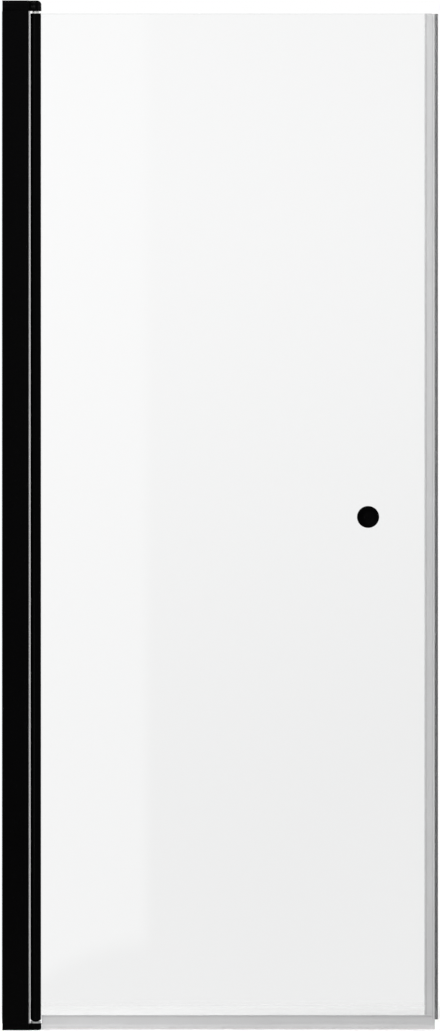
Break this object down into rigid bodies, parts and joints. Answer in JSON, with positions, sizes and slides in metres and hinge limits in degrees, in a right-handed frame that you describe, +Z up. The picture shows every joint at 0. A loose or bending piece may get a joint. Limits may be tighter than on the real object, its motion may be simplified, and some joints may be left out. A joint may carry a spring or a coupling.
{
  "type": "shower door",
  "caption": "Pivot shower door: clear glass in a slim black stile that turns and rises between the arms of a wall post, with round knobs, a bottom sweep and a magnetic seal.",
  "frame": {"origin": "on the pivot axis at the underside of the lower arm, which is the level of the tray", "axes": "+X along the closed door to the strike side, -Y to the outside of the shower, where the door opens to, +Z up along the pivot axis"},
  "size_m": [0.8046, 0.076, 1.9],
  "materials": {
    "black_coat": "satin black powder coat on aluminium",
    "black_plastic": "fine-grained black moulded plastic",
    "knob_black": "satin black coat on turned metal",
    "pin_steel": "ground stainless steel",
    "screw_steel": "turned stainless steel",
    "grey_plastic": "light grey acetal",
    "white_plastic": "natural acetal and nylon",
    "clear_glass": "clear tempered glass with ground edges",
    "gasket": "translucent grey soft extrusion",
    "black_rubber": "matte black rubber",
    "clear_pvc": "clear soft extrusion, slightly cloudy",
    "magnet": "dark magnetic rubber"
  },
  "bodies": {
    "wall_mount": {"wall_channel": "black_coat"},
    "hinge_frame": {"hinge_post": "black_coat", "hinge_gasket": "gasket", "lock_screws": "screw_steel", "lock_nuts": "screw_steel", "screw_caps": "black_plastic", "top_bracket": "black_coat", "top_cover": "black_plastic", "bottom_bracket": "black_coat", "arm_screws": "screw_steel", "top_bush": "white_plastic", "bottom_pin": "pin_steel", "lift_cam": "grey_plastic"},
    "pivot": {"top_pin": "pin_steel"},
    "door": {"door_stile": "black_coat", "top_plug": "black_plastic", "bottom_plug": "black_plastic", "plug_screws": "screw_steel", "cam_follower": "white_plastic", "glass_panel": "clear_glass", "glazing_gasket": "black_rubber", "setting_block": "black_rubber", "knob_outer": "knob_black", "knob_inner": "knob_black", "knob_stud": "screw_steel", "knob_sleeve": "white_plastic", "knob_washers": "white_plastic", "knob_grub_screw": "screw_steel", "strike_seal": "clear_pvc", "magnet_strip": "magnet", "bottom_sweep": "clear_pvc"}
  },
  "joints": [
    {"name": "width_adjust", "type": "slide", "parent": "wall_mount", "child": "hinge_frame", "axis": [1, 0, 0], "range_m": [0, 0.015]},
    {"name": "door_swing", "type": "hinge", "parent": "hinge_frame", "child": "pivot", "pos_m": [0, 0, 0], "axis": [0, 0, -1], "range_deg": [0, 100]},
    {"name": "door_lift", "type": "slide", "parent": "pivot", "child": "door", "axis": [0, 0, 1], "range_m": [0, 0.004]}
  ],
  "couplings": [
    {"joint": "door_lift", "follows": "door_swing", "m_per_rad": 0.0022918}
  ]
}
